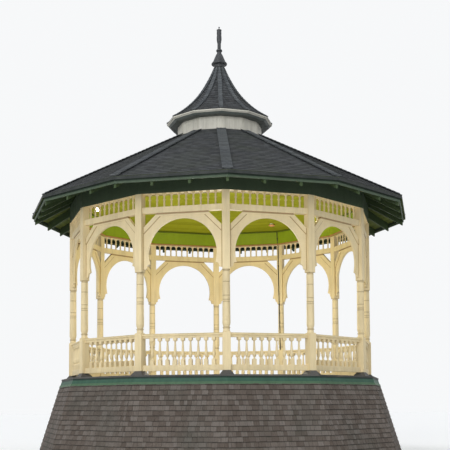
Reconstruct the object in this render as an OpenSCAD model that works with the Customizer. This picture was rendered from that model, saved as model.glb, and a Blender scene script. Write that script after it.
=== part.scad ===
// Twelve-sided open bandstand on a tall battered base, with turned posts,
// round-arched brackets, a spindle frieze and a cupola with a concave spire.
// The front post stands on -Y. Bay 0 is the bay just right of it.

/* [Plan] */
// Radius of the ring that the post centres stand on
post_ring_r = 4100; // [3950:10:4250]

/* [Base] */
// Height of the deck above the ground
deck_h = 2265; // [1900:5:2500]
// How far the foot of the base stands out past its top
base_lean = 675; // [500:5:800]
// Thickness of the shingled base wall, measured level
base_wall_t = 140; // [110:5:170]
// Thickness of the deck boards
deck_t = 40; // [30:1:55]
// How far the deck reaches past the line of the post centres
deck_reach = 302; // [270:1:340]
// How far the deck boards stand out past the edge board
deck_nosing = 11; // [5:1:25]
// Height of the edge board under the deck boards
edge_board_h = 125; // [90:1:150]
// Thickness of the edge board
edge_board_t = 40; // [25:1:60]
// Width of a floor joist
joist_w = 60; // [45:1:70]
// Depth of a floor joist
joist_d = 200; // [160:5:260]
// Width of the square pier under the middle of the floor
pier_w = 240; // [180:5:300]
// Radius of the cap on the pier
pier_cap_r = 330; // [260:5:400]
// Thickness of the cap on the pier
pier_cap_t = 60; // [40:1:90]

/* [Posts] */
// Height of a post from the deck to the top beam
post_h = 4365; // [4200:5:4600]
// Width of the square pedestal
post_w = 190; // [170:1:210]
// Width of the square top of the post
post_top_w = 180; // [160:1:200]
// Width of the splayed foot at the deck
post_foot_w = 345; // [280:1:380]
// Height of the splayed foot
post_foot_h = 100; // [70:1:130]
// Height of the pedestal with its foot
pedestal_h = 1010; // [995:1:1100]
// Size of the bevel round the top of the pedestal
pedestal_bevel = 16; // [8:1:24]
// Height from the deck to the underside of the square top
turned_top = 2470; // [2400:1:2500]
// Largest diameter of the turned shaft
shaft_d = 190; // [175:1:196]
// Diameter of the turned shaft under the square top
shaft_top_d = 176; // [160:1:178]
// Diameter of the turned necks
shaft_neck_d = 152; // [135:1:158]
// Height of the ringed neck over the pedestal
shaft_neck_h = 215; // [190:1:250]
// Diameter of the ring on the neck
shaft_ring_d = 186; // [170:1:192]
// Radius of the grooves cut round the shaft
shaft_groove_r = 9; // [5:1:12]

/* [Balustrade] */
// Clear gap under the bottom rail
rail_gap = 101; // [60:1:140]
// Height of the bottom rail
bottom_rail_h = 134; // [100:1:160]
// Thickness of the bottom rail
bottom_rail_t = 92; // [80:1:110]
// Height of a baluster between the rails
baluster_h = 645; // [600:1:650]
// Width of the square ends of a baluster
baluster_w = 90; // [70:1:95]
// Height of the square foot of a baluster
baluster_foot_h = 132; // [110:1:150]
// Height of the square head of a baluster
baluster_head_h = 62; // [45:1:80]
// Diameter of the bulb low on a baluster
baluster_bulb_d = 88; // [70:1:90]
// Diameter of the slender necks of a baluster
baluster_neck_d = 38; // [32:1:46]
// Spacing of the balusters
baluster_pitch = 189; // [165:1:200]
// Number of balusters in a bay
balusters = 9; // [7:1:9]
// Width of the handrail cap
handrail_w = 150; // [120:1:180]
// Height of the handrail
handrail_h = 108; // [90:1:108]

/* [Arches] */
// Narrowest width of the leg between the arch and the post
arch_leg_w = 128; // [110:1:150]
// Depth of the panel over the crown of the arch
arch_crown_h = 147; // [135:1:200]
// How far the arch curve runs on below its centre
arch_tip_drop = 247; // [180:1:300]
// Thickness of the panel boards
arch_board_t = 50; // [36:1:60]
// Thickness of the braces and the crown board
brace_t = 84; // [70:1:110]
// Width of the diagonal braces
brace_w = 100; // [80:1:120]
// Size of the open triangle in the corner
corner_gap = 343; // [300:1:400]
// Height of the board along the crown
crown_board_h = 80; // [60:1:100]
// Radius of the hollow curve in the foot
foot_cove_r = 70; // [50:1:80]
// Radius of the rounded end of the foot
foot_round_r = 45; // [30:1:55]
// Flat lip at the tip of the foot
foot_lip = 15; // [8:1:25]
// Square edge between the hollow and the rounded end
foot_fillet = 5; // [3:1:8]

/* [Frieze] */
// Height of the frieze beam
frieze_beam_h = 144; // [120:1:170]
// Thickness of the frieze beam
frieze_beam_t = 120; // [100:1:140]
// Height of a spindle
spindle_h = 329; // [300:1:350]
// Diameter of the cap of a spindle under the top beam
spindle_cap_d = 84; // [70:1:92]
// Height of this cap
spindle_cap_h = 36; // [25:1:45]
// Diameter of the ring round a spindle
spindle_ring_d = 70; // [58:1:78]
// Diameter of the slender necks of a spindle
spindle_neck_d = 42; // [34:1:48]
// Spacing of the spindles
spindle_pitch = 181; // [160:1:190]
// Number of spindles in a bay
spindles = 10; // [8:1:10]

/* [Top beam and ceiling] */
// Height of the boxed top beam
top_beam_h = 504; // [480:2:560]
// Thickness of the boxed top beam
top_beam_t = 180; // [150:5:180]
// Height of the boards round the inside above the frieze
cove_h = 430; // [400:5:460]
// How far these boards lean in to their top
cove_lean = 67; // [30:1:110]
// How far the ledge under these boards stands in from the beam
cove_ledge = 90; // [70:1:120]
// Thickness of the ceiling boards
ceiling_t = 24; // [18:1:36]
// Rise of the ceiling from its edge to the middle
ceiling_rise = 1350; // [1000:10:1500]

/* [Lamps] */
// How far the lamps hang in from the ring of the posts
lamp_in = 650; // [500:10:900]
// Diameter of the round block that a lamp is screwed to
lamp_block_d = 120; // [90:1:150]
// Depth of the block at its middle
lamp_block_h = 45; // [35:1:60]
// Length of the socket under the block
lamp_socket_h = 90; // [60:1:120]
// Diameter of the socket
lamp_socket_d = 50; // [40:1:60]
// Diameter of a round bulb
lamp_bulb_d = 95; // [80:1:120]
// Diameter of the shallow glass bowl
lamp_bowl_d = 210; // [180:1:240]

/* [Roof] */
// How far the roof reaches past the line of the post centres
eave_reach = 1114; // [1000:1:1250]
// Rise of the roof for each unit of level run
roof_slope = 0.554; // [0.5:0.01:0.6]
// Thickness of the roof boards and shingles, measured upright
roof_t = 70; // [50:1:90]
// Depth of a rafter, measured upright
rafter_d = 215; // [190:5:260]
// Width of a rafter
rafter_w = 60; // [45:1:75]
// How deep the rafters are notched over the top beam
rafter_seat = 22; // [10:1:40]
// How far the eave board stands back from the edge of the roof
fascia_back = 51; // [40:1:90]
// Thickness of the eave board
fascia_t = 25; // [18:1:35]
// Height of the eave board
fascia_h = 108; // [90:1:150]

/* [Cupola] */
// Radius of the cupola drum over its flat sides
drum_a = 1140; // [1000:10:1250]
// Thickness of the drum wall
drum_t = 60; // [45:1:80]
// Height of the drum above the main roof
drum_show_h = 420; // [380:1:480]
// How far the drum runs down behind the roof to its seat
drum_seat_h = 300; // [290:5:340]
// How far the foot of the cornice stands out from the drum
cupola_reach = 208; // [170:1:240]
// Height of the cornice under the cupola roof
cornice_h = 83; // [70:1:110]
// Thickness of the cornice boards
cornice_t = 25; // [18:1:35]
// How far the cornice leans out from its foot to its top
cornice_lean = 72; // [40:1:90]
// How far the cupola roof stands out past the top of the cornice
cupola_drip = 15; // [10:1:40]
// Height of the square edge of the cupola roof
cupola_edge_h = 30; // [20:1:45]
// Height of the concave spire above that edge
spire_h = 1641; // [1500:1:1750]
// Radius of the top of the spire over its flat sides
spire_top_a = 130; // [115:1:150]
// Depth of the hollow curve of the spire
spire_sag = 186; // [140:1:220]
// Thickness of the boards and shingles of the spire
spire_t = 60; // [45:1:80]
// Radius of the bell cap at its lip
bell_r = 223; // [200:1:250]
// Height of the bell cap
bell_h = 400; // [380:1:450]
// Radius of the finial at its widest ring
finial_r = 88; // [75:1:95]
// Radius of the slender mast of the finial
mast_r = 50; // [42:1:56]
// Radius of the ball on top
ball_r = 21; // [16:1:26]

/* [Hidden] */
$fn = 48;

// The plan has twelve equal sides, worked in four quarters of three bays
bays = 12;
turn = 360 / bays;
half_turn = turn / 2;
bays_per_quarter = 3;
reach = 7000;
post_line_a = post_ring_r * cos(half_turn);

// Heights of the floor
deck_under = deck_h - deck_t;
base_wall_h = deck_under - edge_board_h;
joist_under = deck_under - joist_d;
joist_inner_r = 150;
deck_a = post_line_a + deck_reach;
base_slope = base_lean / deck_under;

// Places of the grooves along a post shaft, as parts of its length
groove_places = [0.40, 0.44, 0.52, 0.79];
// How far a turned piece is let in to the wood at each end
tenon = 8;

// Corners with a bulb under the ceiling, and corners with a bowl lamp
bulb_corners = [4, 9];
bowl_corners = [5, 8];

// Heights above the deck
post_top_z = deck_h + post_h;
half_bay = post_ring_r * sin(half_turn) - post_top_w / 2 / cos(half_turn);
spindle_z = post_top_z - spindle_h;
frieze_z = spindle_z - frieze_beam_h;
arch_r = half_bay - arch_leg_w;
arch_z = frieze_z - arch_crown_h - arch_r;
arch_tip_z = arch_z - arch_tip_drop;
arch_tip_y = sqrt(arch_r * arch_r - arch_tip_drop * arch_tip_drop);
foot_y = arch_tip_y + foot_lip + foot_cove_r;
foot_z = arch_tip_z - foot_cove_r - foot_round_r - foot_fillet;

// Roof lines
beam_out_a = post_line_a + top_beam_t / 2;
beam_in_a = post_line_a - top_beam_t / 2;
beam_top_z = post_top_z + top_beam_h;
ceiling_edge_a = beam_in_a - cove_ledge + 2 * ceiling_t - cove_lean;
ceiling_edge_z = post_top_z + cove_h;
rafter_low_z = beam_top_z - rafter_seat;
roof_edge_a = post_line_a + eave_reach;
fascia_a = roof_edge_a - fascia_back;
tail_a = fascia_a - fascia_t;
drum_top_z = roof_top(drum_a) + drum_show_h;
drum_low_z = roof_top(drum_a) - drum_seat_h;
cornice_a = drum_a + cupola_reach;
cornice_top_a = cornice_a + cornice_lean;
cupola_edge_a = cornice_top_a + cupola_drip;
spire_z = drum_top_z + cupola_edge_h;
bell_z = spire_z + spire_h;
finial_z = bell_z + bell_h;

// Colours of the painted and weathered surfaces
shingle_brown = [0.36, 0.31, 0.27];
roof_grey = [0.22, 0.22, 0.23];
trim_cream = [0.93, 0.88, 0.76];
paint_green = [0.42, 0.50, 0.22];
edge_green = [0.18, 0.32, 0.25];
raw_wood = [0.55, 0.43, 0.30];
cap_metal = [0.16, 0.18, 0.20];
lamp_white = [0.97, 0.95, 0.88];

// Underside and top of the roof boards at a distance from the middle
function roof_under(a) =
  rafter_low_z + rafter_d + (beam_out_a - a) * roof_slope;
function roof_top(a) = roof_under(a) + roof_t;

// Face of the leaning base at a height
function base_face(z) =
  deck_a - deck_nosing + (deck_under - z) * base_slope;

// Underside of the ceiling at a distance from the middle
function ceiling_under(a) =
  ceiling_edge_z + (1 - a / ceiling_edge_a) * ceiling_rise;

// Farthest point on a corner line for a piece of width w inside a face at a
function corner_r(a, w) = a / cos(half_turn) - w / 2 * tan(half_turn);

// A section drawn as [distance from the middle, height], run along one bay
module bay_run(section) {
  rotate([90, 0, 0])
    linear_extrude(height = reach, center = true)
      polygon(section);
}

// The space of one bay, set in by a distance from its two corner lines
module bay_space(inset) {
  start = inset / sin(half_turn);
  side = (reach - start) * tan(half_turn);
  linear_extrude(height = 2 * reach)
    polygon([[start, 0], [reach, -side], [reach, side]]);
}

// Puts its children in each bay from the first one, count bays in all
module in_bays(first, count) {
  for (i = [first:first + count - 1])
    rotate(-90 + half_turn + turn * i)
      children();
}

// A run of mitred bays of one section
module mitred_ring(section, first = 0, count = bays) {
  in_bays(first, count)
    intersection() {
      bay_run(section);
      bay_space(0);
    }
}

// A twelve-sided prism with its flat sides at a distance from the middle
module twelve_prism(a, z0, z1) {
  translate([0, 0, z0])
    cylinder(h = z1 - z0, r = a / cos(half_turn), $fn = 12);
}

// One quarter of the base: a stud wall with its shingled face leaning in
module base_wall(q) {
  section = [
    [base_face(0) - base_wall_t, 0],
    [base_face(0), 0],
    [base_face(base_wall_h), base_wall_h],
    [base_face(base_wall_h) - base_wall_t, base_wall_h]
  ];
  color(shingle_brown)
    mitred_ring(section, q * bays_per_quarter, bays_per_quarter);
}

// Square pier with a cap that carries the inner ends of the joists
module centre_pier() {
  color(raw_wood) {
    translate([-pier_w / 2, -pier_w / 2, 0])
      cube([pier_w, pier_w, joist_under - pier_cap_t]);
    twelve_prism(pier_cap_r * cos(half_turn), joist_under - pier_cap_t, joist_under);
  }
}

// Joists from the pier to each corner, notched over the base wall
module floor_joists() {
  notch_r = corner_r(base_face(base_wall_h) - base_wall_t, joist_w);
  end_r = corner_r(base_face(deck_under) - edge_board_t, joist_w);
  color(raw_wood)
    for (i = [0:bays - 1])
      rotate(-90 + turn * i)
        rotate([90, 0, 0])
          linear_extrude(height = joist_w, center = true)
            polygon([
              [joist_inner_r, joist_under],
              [notch_r, joist_under],
              [notch_r, base_wall_h],
              [end_r, base_wall_h],
              [end_r, deck_under],
              [joist_inner_r, deck_under]
            ]);
}

// Painted board that hides the joist ends and follows the lean of the wall
module deck_edge_board() {
  color(edge_green)
    mitred_ring([
      [base_face(deck_under) - edge_board_t, base_wall_h],
      [base_face(base_wall_h), base_wall_h],
      [base_face(deck_under), deck_under],
      [base_face(deck_under) - edge_board_t, deck_under]
    ]);
}

// Deck boards laid over the joists with a nosing past the edge board
module deck_floor() {
  color(raw_wood)
    twelve_prism(deck_a, deck_under, deck_h);
}

// A square block that tapers from w0 to w1 over its height
module tapered_block(w0, w1, h) {
  side = [[-w0 / 2, 0], [w0 / 2, 0], [w1 / 2, h], [-w1 / 2, h]];
  intersection() {
    rotate([90, 0, 0])
      linear_extrude(height = w0 + w1, center = true)
        polygon(side);
    rotate([90, 0, 90])
      linear_extrude(height = w0 + w1, center = true)
        polygon(side);
  }
}

// Turned profiles are drawn as [radius, height]. This is a straight band.
module band(r, z0, z1) {
  translate([0, z0])
    square([r, z1 - z0]);
}

// A straight taper from radius r0 at z0 to r1 at z1
module taper(r0, z0, r1, z1) {
  polygon([[0, z0], [r0, z0], [r1, z1], [0, z1]]);
}

// A round bead of diameter d that reaches out to radius r
module bead(r, z, d) {
  band(r - d / 2, z - d / 2, z + d / 2);
  translate([r - d / 2, z])
    circle(d = d);
}

// A swelling of radius r half-way between two heights, where it narrows to r0
module swell(r, z0, r0, z1) {
  in = r - r0;
  half = (z1 - z0) / 2;
  curve = (in * in + half * half) / (2 * in);
  intersection() {
    translate([r - curve, z0 + half])
      circle(r = curve);
    band(r, z0, z1);
  }
}

// A rounded shoulder that rises from r0 at z0 and is upright at r1, z1
module shoulder(r0, z0, r1, z1) {
  out = r1 - r0;
  curve = (out * out + (z1 - z0) * (z1 - z0)) / (2 * out);
  intersection() {
    translate([r1 - curve, z1])
      circle(r = curve);
    band(r1, z0, z1);
  }
}

// A hollow flare that leaves the neck r0 at z0 upright and ends at r1, z1
module flare(r0, z0, r1, z1) {
  out = r1 - r0;
  curve = (out * out + (z1 - z0) * (z1 - z0)) / (2 * out);
  difference() {
    band(r1, min(z0, z1), max(z0, z1));
    translate([r0 + curve, z0])
      circle(r = curve);
  }
}

// Turned shaft of a post: ringed neck, long tapered shaft, grooves and collar
module post_shaft() {
  r = shaft_d / 2;
  top_r = shaft_top_d / 2;
  neck = shaft_neck_d / 2;
  ring = shaft_ring_d / 2;
  low = pedestal_h + shaft_neck_h;
  ring_z = pedestal_h + 0.42 * shaft_neck_h;
  ring_h = 2.4 * shaft_groove_r;
  collar_z = turned_top - 4 * shaft_groove_r;
  length = collar_z - low;
  rotate_extrude()
    difference() {
      union() {
        band(neck, pedestal_h - tenon, turned_top + tenon);
        flare(neck, ring_z, 1.12 * neck, pedestal_h);
        bead(ring, ring_z, ring_h);
        shoulder(neck - tenon, ring_z + ring_h, r, low);
        taper(r, low, top_r, collar_z);
        bead(top_r, turned_top - 1.6 * shaft_groove_r, ring_h);
      }
      for (part = groove_places)
        translate([r - part * (r - top_r) + 0.2 * shaft_groove_r, low + part * length])
          circle(r = shaft_groove_r);
    }
}

// One post: splayed foot, square pedestal, turned shaft and square top
module post_piece() {
  tapered_block(post_foot_w, post_w, post_foot_h);
  translate([-post_w / 2, -post_w / 2, post_foot_h])
    cube([post_w, post_w, pedestal_h - pedestal_bevel - post_foot_h]);
  translate([0, 0, pedestal_h - pedestal_bevel])
    tapered_block(post_w, post_w - 2 * pedestal_bevel, pedestal_bevel);
  post_shaft();
  translate([-post_top_w / 2, -post_top_w / 2, turned_top])
    cube([post_top_w, post_top_w, post_h - turned_top]);
}

module post(i) {
  color(trim_cream)
    rotate(-90 + turn * i)
      translate([post_ring_r, 0, deck_h])
        post_piece();
}

// A turned baluster with square ends, standing on z = 0
module baluster() {
  w = baluster_w;
  neck = baluster_neck_d / 2;
  bulb = baluster_bulb_d / 2;
  head_z = baluster_h - baluster_head_h;
  turned = head_z - baluster_foot_h;
  waist_z = baluster_foot_h + 0.10 * turned;
  bulb_z = baluster_foot_h + 0.47 * turned;
  shaft_z = baluster_foot_h + 0.38 * turned;
  top_z = baluster_foot_h + 0.90 * turned;
  translate([-w / 2, -w / 2, 0])
    cube([w, w, baluster_foot_h]);
  translate([-w / 2, -w / 2, head_z])
    cube([w, w, baluster_head_h]);
  rotate_extrude($fn = 24) {
    band(neck, baluster_foot_h - tenon, head_z + tenon);
    flare(neck, waist_z, 0.46 * w, baluster_foot_h);
    swell(bulb, waist_z, 0.8 * neck, bulb_z);
    taper(0.76 * bulb, shaft_z, neck, top_z);
    flare(neck, top_z, 0.46 * w, head_z);
  }
}

// Railing of one bay: bottom rail, balusters and a bevelled handrail
module balustrade_bay() {
  rail_z = deck_h + rail_gap;
  foot_z = rail_z + bottom_rail_h;
  hand_z = foot_z + baluster_h;
  a = post_line_a;
  cap = handrail_w / 2;
  sub = bottom_rail_t / 2;
  intersection() {
    union() {
      bay_run([
        [a - sub, rail_z],
        [a + sub, rail_z],
        [a + sub, foot_z],
        [a - sub, foot_z]
      ]);
      bay_run([
        [a - sub, hand_z],
        [a + sub, hand_z],
        [a + sub, hand_z + 0.5 * handrail_h],
        [a + cap, hand_z + 0.54 * handrail_h],
        [a + cap, hand_z + 0.76 * handrail_h],
        [a + 0.3 * cap, hand_z + handrail_h],
        [a - 0.3 * cap, hand_z + handrail_h],
        [a - cap, hand_z + 0.76 * handrail_h],
        [a - cap, hand_z + 0.54 * handrail_h],
        [a - sub, hand_z + 0.5 * handrail_h]
      ]);
    }
    bay_space(post_w / 2);
  }
  for (i = [0:balusters - 1])
    translate([a, (i - (balusters - 1) / 2) * baluster_pitch, foot_z])
      baluster();
}

module balustrade(q) {
  color(trim_cream)
    in_bays(q * bays_per_quarter, bays_per_quarter)
      balustrade_bay();
}

// Outline of the arch panel, drawn flat as [along the bay, height]
module arch_outline() {
  wide = 2 * half_bay + 200;
  difference() {
    translate([-wide / 2, foot_z])
      square([wide, frieze_z - foot_z]);
    translate([0, arch_z])
      circle(r = arch_r, $fn = 96);
    translate([-arch_tip_y, foot_z - 1])
      square([2 * arch_tip_y, arch_z - foot_z + 1]);
    for (side = [0, 1])
      mirror([side, 0]) {
        foot_cut();
        polygon([
          [half_bay - corner_gap - 1, frieze_z + 1],
          [half_bay + 100, frieze_z + 1],
          [half_bay + 100, frieze_z - corner_gap - 100]
        ]);
      }
  }
}

// What is cut away under the leg: a hollow curve, a fillet and a round end
module foot_cut() {
  translate([0, foot_z - 1])
    square([arch_tip_y + foot_lip, arch_tip_z - foot_z + 1]);
  translate([arch_tip_y + foot_lip, arch_tip_z - foot_cove_r])
    circle(r = foot_cove_r);
  translate([0, foot_z - 1])
    square([foot_y, arch_tip_z - foot_cove_r - foot_z + 1]);
  difference() {
    translate([foot_y - 1, foot_z - 1])
      square([foot_round_r + 1, foot_round_r + 1]);
    translate([foot_y + foot_round_r, foot_z + foot_round_r])
      circle(r = foot_round_r);
  }
}

// Diagonal braces and the board along the crown, drawn flat
module brace_outline() {
  run = brace_w * sqrt(2);
  for (side = [0, 1])
    mirror([side, 0])
      polygon([
        [half_bay - corner_gap, frieze_z],
        [half_bay + 100, frieze_z - corner_gap - 100],
        [half_bay + 100, frieze_z - corner_gap - 100 - run],
        [half_bay - corner_gap - run, frieze_z]
      ]);
  translate([-half_bay + corner_gap, frieze_z - crown_board_h])
    square([2 * (half_bay - corner_gap), crown_board_h]);
}

// Stands a flat outline up in the bay, centred on the line of the posts
module upright(t) {
  translate([post_line_a, 0, 0])
    rotate([90, 0, 90])
      linear_extrude(height = t, center = true)
        children();
}

module arch_bay() {
  intersection() {
    union() {
      upright(arch_board_t)
        arch_outline();
      upright(brace_t)
        brace_outline();
    }
    bay_space(post_top_w / 2);
  }
}

module arches(q) {
  color(trim_cream)
    in_bays(q * bays_per_quarter, bays_per_quarter)
      arch_bay();
}

// A turned spindle with a flared cap and a ring round its middle
module spindle() {
  cap = spindle_cap_d / 2;
  ring = spindle_ring_d / 2;
  neck = spindle_neck_d / 2;
  h = spindle_h;
  cap_z = h - spindle_cap_h;
  ring_z = 0.54 * h;
  ring_h = 0.08 * h;
  rotate_extrude($fn = 24) {
    band(neck, -tenon, h);
    flare(neck, 1.5 * ring_h, ring, 0);
    flare(neck, ring_z - ring_h, 0.8 * ring, ring_z);
    bead(ring, ring_z, ring_h);
    flare(neck, ring_z + ring_h, 0.8 * ring, ring_z);
    flare(neck, cap_z - ring_h, cap, cap_z);
    band(cap, cap_z, h);
  }
}

// Frieze of one bay: a beam and a row of spindles up to the top beam
module frieze_bay() {
  a = post_line_a;
  t = frieze_beam_t / 2;
  intersection() {
    bay_run([[a - t, frieze_z], [a + t, frieze_z], [a + t, spindle_z], [a - t, spindle_z]]);
    bay_space(post_top_w / 2);
  }
  for (i = [0:spindles - 1])
    translate([a, (i - (spindles - 1) / 2) * spindle_pitch, spindle_z])
      spindle();
}

module frieze(q) {
  color(trim_cream)
    in_bays(q * bays_per_quarter, bays_per_quarter)
      frieze_bay();
}

// Boxed beam on top of the posts, which carries the rafters
module top_beam() {
  color(trim_cream)
    difference() {
      twelve_prism(beam_out_a, post_top_z, beam_top_z);
      twelve_prism(beam_in_a, post_top_z - 1, beam_top_z + 1);
    }
}

// Ledge and leaning boards round the inside above the frieze
module ceiling_cove() {
  low_a = beam_in_a - cove_ledge + ceiling_t;
  high_a = low_a - cove_lean;
  ledge_z = post_top_z + ceiling_t;
  color(paint_green)
    mitred_ring([
      [beam_in_a - cove_ledge, post_top_z],
      [beam_in_a, post_top_z],
      [beam_in_a, ledge_z],
      [low_a + ceiling_t, ledge_z],
      [high_a + ceiling_t, post_top_z + cove_h],
      [high_a, post_top_z + cove_h],
      [low_a, ledge_z],
      [beam_in_a - cove_ledge, ledge_z]
    ]);
}

// Ceiling boards of a thickness, rising from the edge to the middle
module ceiling_boards(t) {
  mitred_ring([
    [0, ceiling_edge_z + ceiling_rise],
    [ceiling_edge_a, ceiling_edge_z],
    [ceiling_edge_a, ceiling_edge_z + t],
    [0, ceiling_edge_z + ceiling_rise + t]
  ]);
}

module ceiling() {
  color(paint_green)
    ceiling_boards(ceiling_t);
}

// Puts its children on the corner lines where lamps hang, under their blocks
module at_lamps(corners) {
  r = post_ring_r - lamp_in;
  for (corner = corners)
    rotate(-90 + turn * corner)
      translate([r, 0, ceiling_under(r * cos(half_turn)) - lamp_block_h])
        children();
}

// Round blocks cut to the slope of the ceiling, with sockets for the bulbs
module lamp_holders() {
  color(lamp_white)
    difference() {
      union() {
        at_lamps(concat(bulb_corners, bowl_corners))
          cylinder(h = 2 * lamp_block_h, d = lamp_block_d);
        at_lamps(bulb_corners)
          translate([0, 0, -lamp_socket_h])
            cylinder(h = lamp_socket_h, d = lamp_socket_d);
      }
      ceiling_boards(4 * lamp_block_h);
    }
}

// Round bulbs in their sockets, and shallow glass bowls
module lamp_bulbs() {
  r = lamp_bulb_d / 2;
  bowl = lamp_bowl_d / 2;
  bowl_h = 0.45 * bowl;
  bowl_curve = (bowl * bowl + bowl_h * bowl_h) / (2 * bowl_h);
  color(lamp_white) {
    at_lamps(bulb_corners)
      translate([0, 0, -lamp_socket_h])
        rotate_extrude() {
          band(0.4 * lamp_socket_d, -r, 0);
          intersection() {
            translate([0, -1.2 * r])
              circle(r = r);
            band(r, -2.2 * r, 0);
          }
        }
    at_lamps(bowl_corners)
      rotate_extrude()
        intersection() {
          translate([0, bowl_curve - bowl_h])
            circle(r = bowl_curve);
          band(bowl, -bowl_h, 0);
        }
  }
}

// Solid that the rafters are cut back from: the top beam and the drum
module rafter_stops() {
  twelve_prism(drum_a, drum_low_z - 500, drum_top_z);
  difference() {
    twelve_prism(beam_out_a, post_top_z, beam_top_z);
    twelve_prism(beam_in_a, post_top_z - 1, beam_top_z + 1);
  }
}

// Rafters under the corners of the roof, with their tails at the eave
module hip_rafters() {
  start_r = drum_a / 2;
  end_r = corner_r(tail_a, rafter_w);
  color(edge_green)
    for (i = [0:bays - 1])
      rotate(-90 + turn * i)
        difference() {
          rotate([90, 0, 0])
            linear_extrude(height = rafter_w, center = true)
              polygon([
                [start_r, hip_top(start_r)],
                [end_r, hip_top(end_r)],
                [end_r, hip_top(end_r) - rafter_d],
                [start_r, hip_top(start_r) - rafter_d]
              ]);
          rafter_stops();
        }
}

// Flat top of a hip rafter, whose edges touch the underside of the boards
function hip_top(r) =
  roof_under(r * cos(half_turn) + rafter_w / 2 * sin(half_turn));

// Two shorter rafters in each bay, run square to the eave up to the hips
module jack_rafters() {
  spacing = 2 * tail_a * tan(half_turn) / 3;
  start_a = drum_a / 2;
  color(edge_green)
    in_bays(0, bays)
      difference() {
        intersection() {
          union()
            for (s = [-1, 1])
              translate([0, s * spacing / 2, 0])
                rotate([90, 0, 0])
                  linear_extrude(height = rafter_w, center = true)
                    polygon([
                      [start_a, roof_under(start_a)],
                      [tail_a, roof_under(tail_a)],
                      [tail_a, roof_under(tail_a) - rafter_d],
                      [start_a, roof_under(start_a) - rafter_d]
                    ]);
          bay_space(rafter_w / 2);
        }
        rotate(-half_turn)
          rafter_stops();
      }
}

// One quarter of the roof boards and shingles
module roof(q) {
  color(roof_grey)
    mitred_ring([
      [drum_a, roof_under(drum_a)],
      [roof_edge_a, roof_under(roof_edge_a)],
      [roof_edge_a, roof_top(roof_edge_a)],
      [drum_a, roof_top(drum_a)]
    ], q * bays_per_quarter, bays_per_quarter);
}

// Board along the rafter tails
module eave_board() {
  low_z = roof_under(fascia_a) - fascia_h;
  color(edge_green)
    mitred_ring([
      [tail_a, low_z],
      [fascia_a, low_z],
      [fascia_a, roof_under(fascia_a)],
      [tail_a, roof_under(tail_a)]
    ]);
}

// Boarded drum that the hip rafters lean on
module cupola_drum() {
  color(trim_cream)
    difference() {
      twelve_prism(drum_a, drum_low_z, drum_top_z);
      twelve_prism(drum_a - drum_t, drum_low_z - 1, drum_top_z + 1);
    }
}

// Soffit of the cupola eave, with a leaning cornice board along its edge
module cupola_cornice() {
  low_z = drum_top_z - cornice_h;
  color(trim_cream)
    mitred_ring([
      [drum_a, low_z],
      [cornice_a, low_z],
      [cornice_top_a, drum_top_z],
      [cornice_top_a - cornice_t, drum_top_z],
      [cornice_a - cornice_t, low_z + cornice_t],
      [drum_a, low_z + cornice_t]
    ]);
}

// Twelve-sided form with hollow sides, set in all round by a thickness
module spire_form(inset, low_z) {
  run = cupola_edge_a - spire_top_a;
  chord = sqrt(run * run + spire_h * spire_h);
  r = chord * chord / 8 / spire_sag + spire_sag / 2;
  lift = r - spire_sag;
  centre = [
    (cupola_edge_a + spire_top_a) / 2 + lift * spire_h / chord,
    spire_z + spire_h / 2 + lift * run / chord
  ];
  intersection_for (i = [0:bays / 2 - 1])
    rotate(-90 + half_turn + turn * i)
      rotate([90, 0, 0])
        linear_extrude(height = reach, center = true)
          difference() {
            translate([inset - cupola_edge_a, low_z])
              square([2 * (cupola_edge_a - inset), bell_z + inset - low_z]);
            for (s = [-1, 1])
              translate([s * centre[0], centre[1]])
                circle(r = r + inset, $fn = 96);
          }
}

// Concave spire: a shingled shell on a ring of boards over the drum
module cupola_roof() {
  color(roof_grey)
    difference() {
      spire_form(0, drum_top_z);
      spire_form(spire_t, spire_z);
      twelve_prism(drum_a - drum_t, drum_top_z - 1, spire_z + 1);
    }
}

// Turned cap with a rolled lip and sloping sides
module bell_cap() {
  lip_d = 0.18 * bell_h;
  lip_z = 0.27 * bell_h;
  color(cap_metal)
    translate([0, 0, bell_z])
      rotate_extrude() {
        band(0.66 * bell_r, 0, lip_z);
        flare(0.66 * bell_r, 0.03 * bell_h, bell_r - lip_d / 2, lip_z);
        bead(bell_r, lip_z, lip_d);
        taper(0.92 * bell_r, lip_z, 0.42 * bell_r, 0.94 * bell_h);
        band(0.34 * bell_r, 0.94 * bell_h, bell_h);
      }
}

// Turned finial: a ring, a mast with a long swelling, a cap and a small ball
module finial() {
  r = finial_r;
  ring_z = 1.1 * r;
  swell_z = ring_z + 4.1 * r;
  waist_z = swell_z + r;
  cap_z = waist_z + 1.7 * r;
  pin_z = cap_z + 0.7 * r;
  color(cap_metal)
    translate([0, 0, finial_z])
      rotate_extrude() {
        band(0.72 * r, 0, ring_z);
        bead(r, ring_z, 0.8 * r);
        flare(mast_r, ring_z + 0.7 * r, 0.9 * r, ring_z);
        band(mast_r, ring_z, cap_z);
        swell(0.80 * r, swell_z - 1.7 * r, mast_r, swell_z + 1.7 * r);
        taper(0.68 * r, waist_z, 0.78 * r, waist_z + 0.5 * r);
        taper(0.78 * r, waist_z + 0.5 * r, 0.73 * r, cap_z);
        bead(0.82 * r, cap_z, 0.25 * r);
        flare(0.4 * ball_r, pin_z, 0.7 * r, cap_z);
        band(0.5 * ball_r, cap_z, pin_z + ball_r);
        intersection() {
          translate([0, pin_z + ball_r])
            circle(r = ball_r);
          band(ball_r, pin_z, pin_z + 2 * ball_r);
        }
      }
}

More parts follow.
